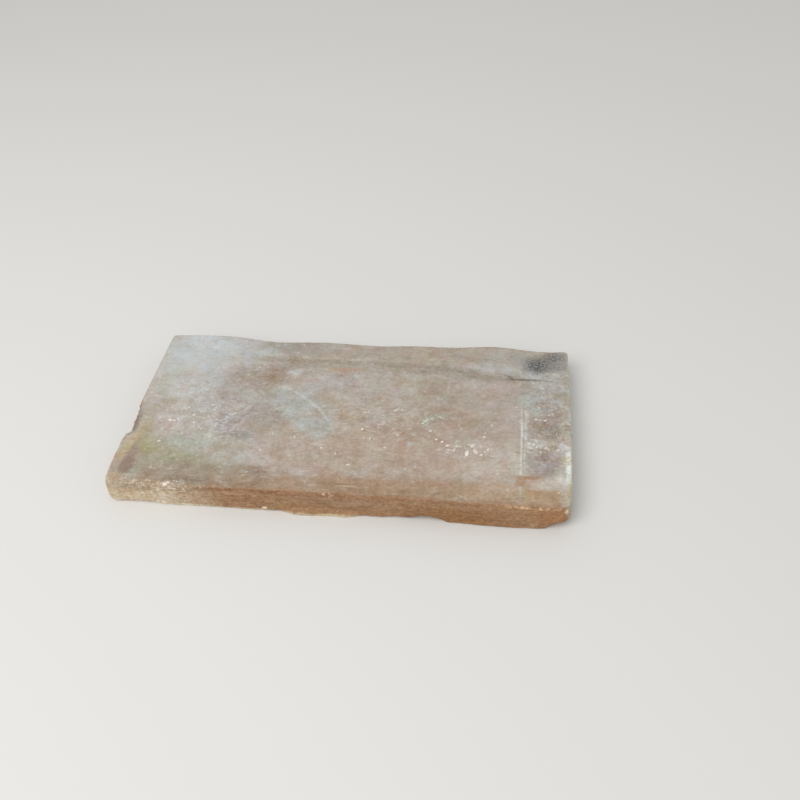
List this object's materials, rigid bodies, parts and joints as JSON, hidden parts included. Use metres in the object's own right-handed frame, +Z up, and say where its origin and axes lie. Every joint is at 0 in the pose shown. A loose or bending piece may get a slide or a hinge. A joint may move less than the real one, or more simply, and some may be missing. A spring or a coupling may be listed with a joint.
{
  "type": "terracotta paver",
  "caption": "Reclaimed hand-moulded terracotta floor paver, a flat oblong slab with wavy sides, worn rounded edges and old broken corners.",
  "frame": {"origin": "on the bed face, under the middle of the paver's bounding box", "axes": "+X along the length, +Y across the width from front to back, +Z up from the bed face through the thickness"},
  "size_m": [0.334, 0.1674, 0.022],
  "materials": {
    "terracotta": "matt unglazed fired clay, weathered, with lime bloom, mortar traces, algae and soot on the top face"
  },
  "bodies": {
    "root": {"paver": "terracotta"}
  },
  "joints": []
}
